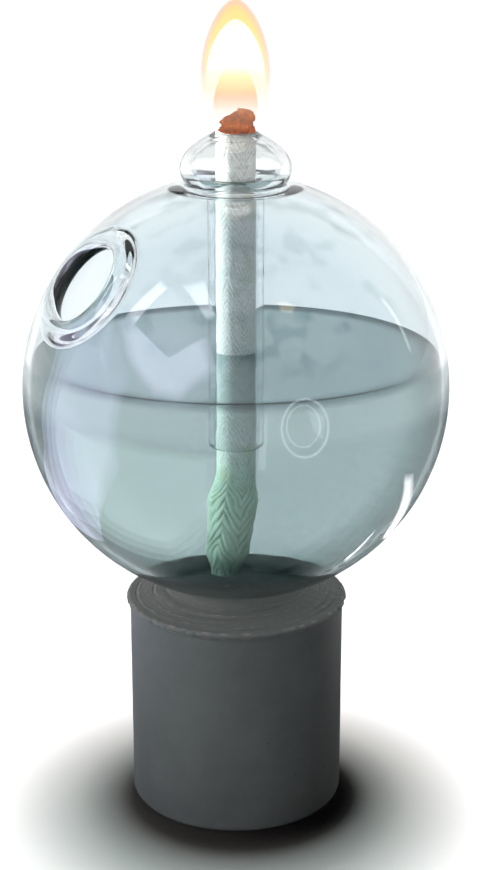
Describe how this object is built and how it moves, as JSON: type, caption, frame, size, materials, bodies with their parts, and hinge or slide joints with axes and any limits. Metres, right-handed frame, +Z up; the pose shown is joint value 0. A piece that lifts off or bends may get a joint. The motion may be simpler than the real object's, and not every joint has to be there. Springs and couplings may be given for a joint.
{
  "type": "oil lamp",
  "caption": "Glass globe oil lamp on a cylindrical cast block: lift-out glass wick holder in the top mouth, filler mouth at the side, braided wick, oil and flame.",
  "frame": {"origin": "centre of the face that the lamp stands on, under the foot pad", "axes": "+Z up along the block, the globe and the wick; -Y is the front; the filler mouth faces -X, towards the front"},
  "size_m": [0.1, 0.1, 0.1936],
  "materials": {
    "felt": "matte",
    "concrete": "matte",
    "globe_glass": "polished",
    "lamp_oil": "polished",
    "holder_glass": "polished",
    "wick_fibre": "matte",
    "wick_braid": "matte",
    "flame": "matte"
  },
  "bodies": {
    "base": {"foot_pad": "felt", "base": "concrete"},
    "oil": {"oil": "lamp_oil"},
    "globe": {"globe": "globe_glass"},
    "wick_holder": {"wick_holder": "holder_glass"},
    "wick": {"wick_core": "wick_fibre", "wick_sleeve": "wick_braid", "flame": "flame"}
  },
  "joints": [
    {"name": "globe_lift", "type": "slide", "parent": "base", "child": "oil", "axis": [0, 0, 1], "range_m": [0, 0.03]},
    {"name": "globe_turn", "type": "hinge", "parent": "oil", "child": "globe", "pos_m": [0, 0, 0.10458], "axis": [0, 0, 1], "continuous": true},
    {"name": "holder_lift", "type": "slide", "parent": "globe", "child": "wick_holder", "axis": [0, 0, 1], "range_m": [0, 0.1]},
    {"name": "wick_feed", "type": "slide", "parent": "wick_holder", "child": "wick", "axis": [0, 0, 1], "range_m": [0, 0.006]}
  ]
}
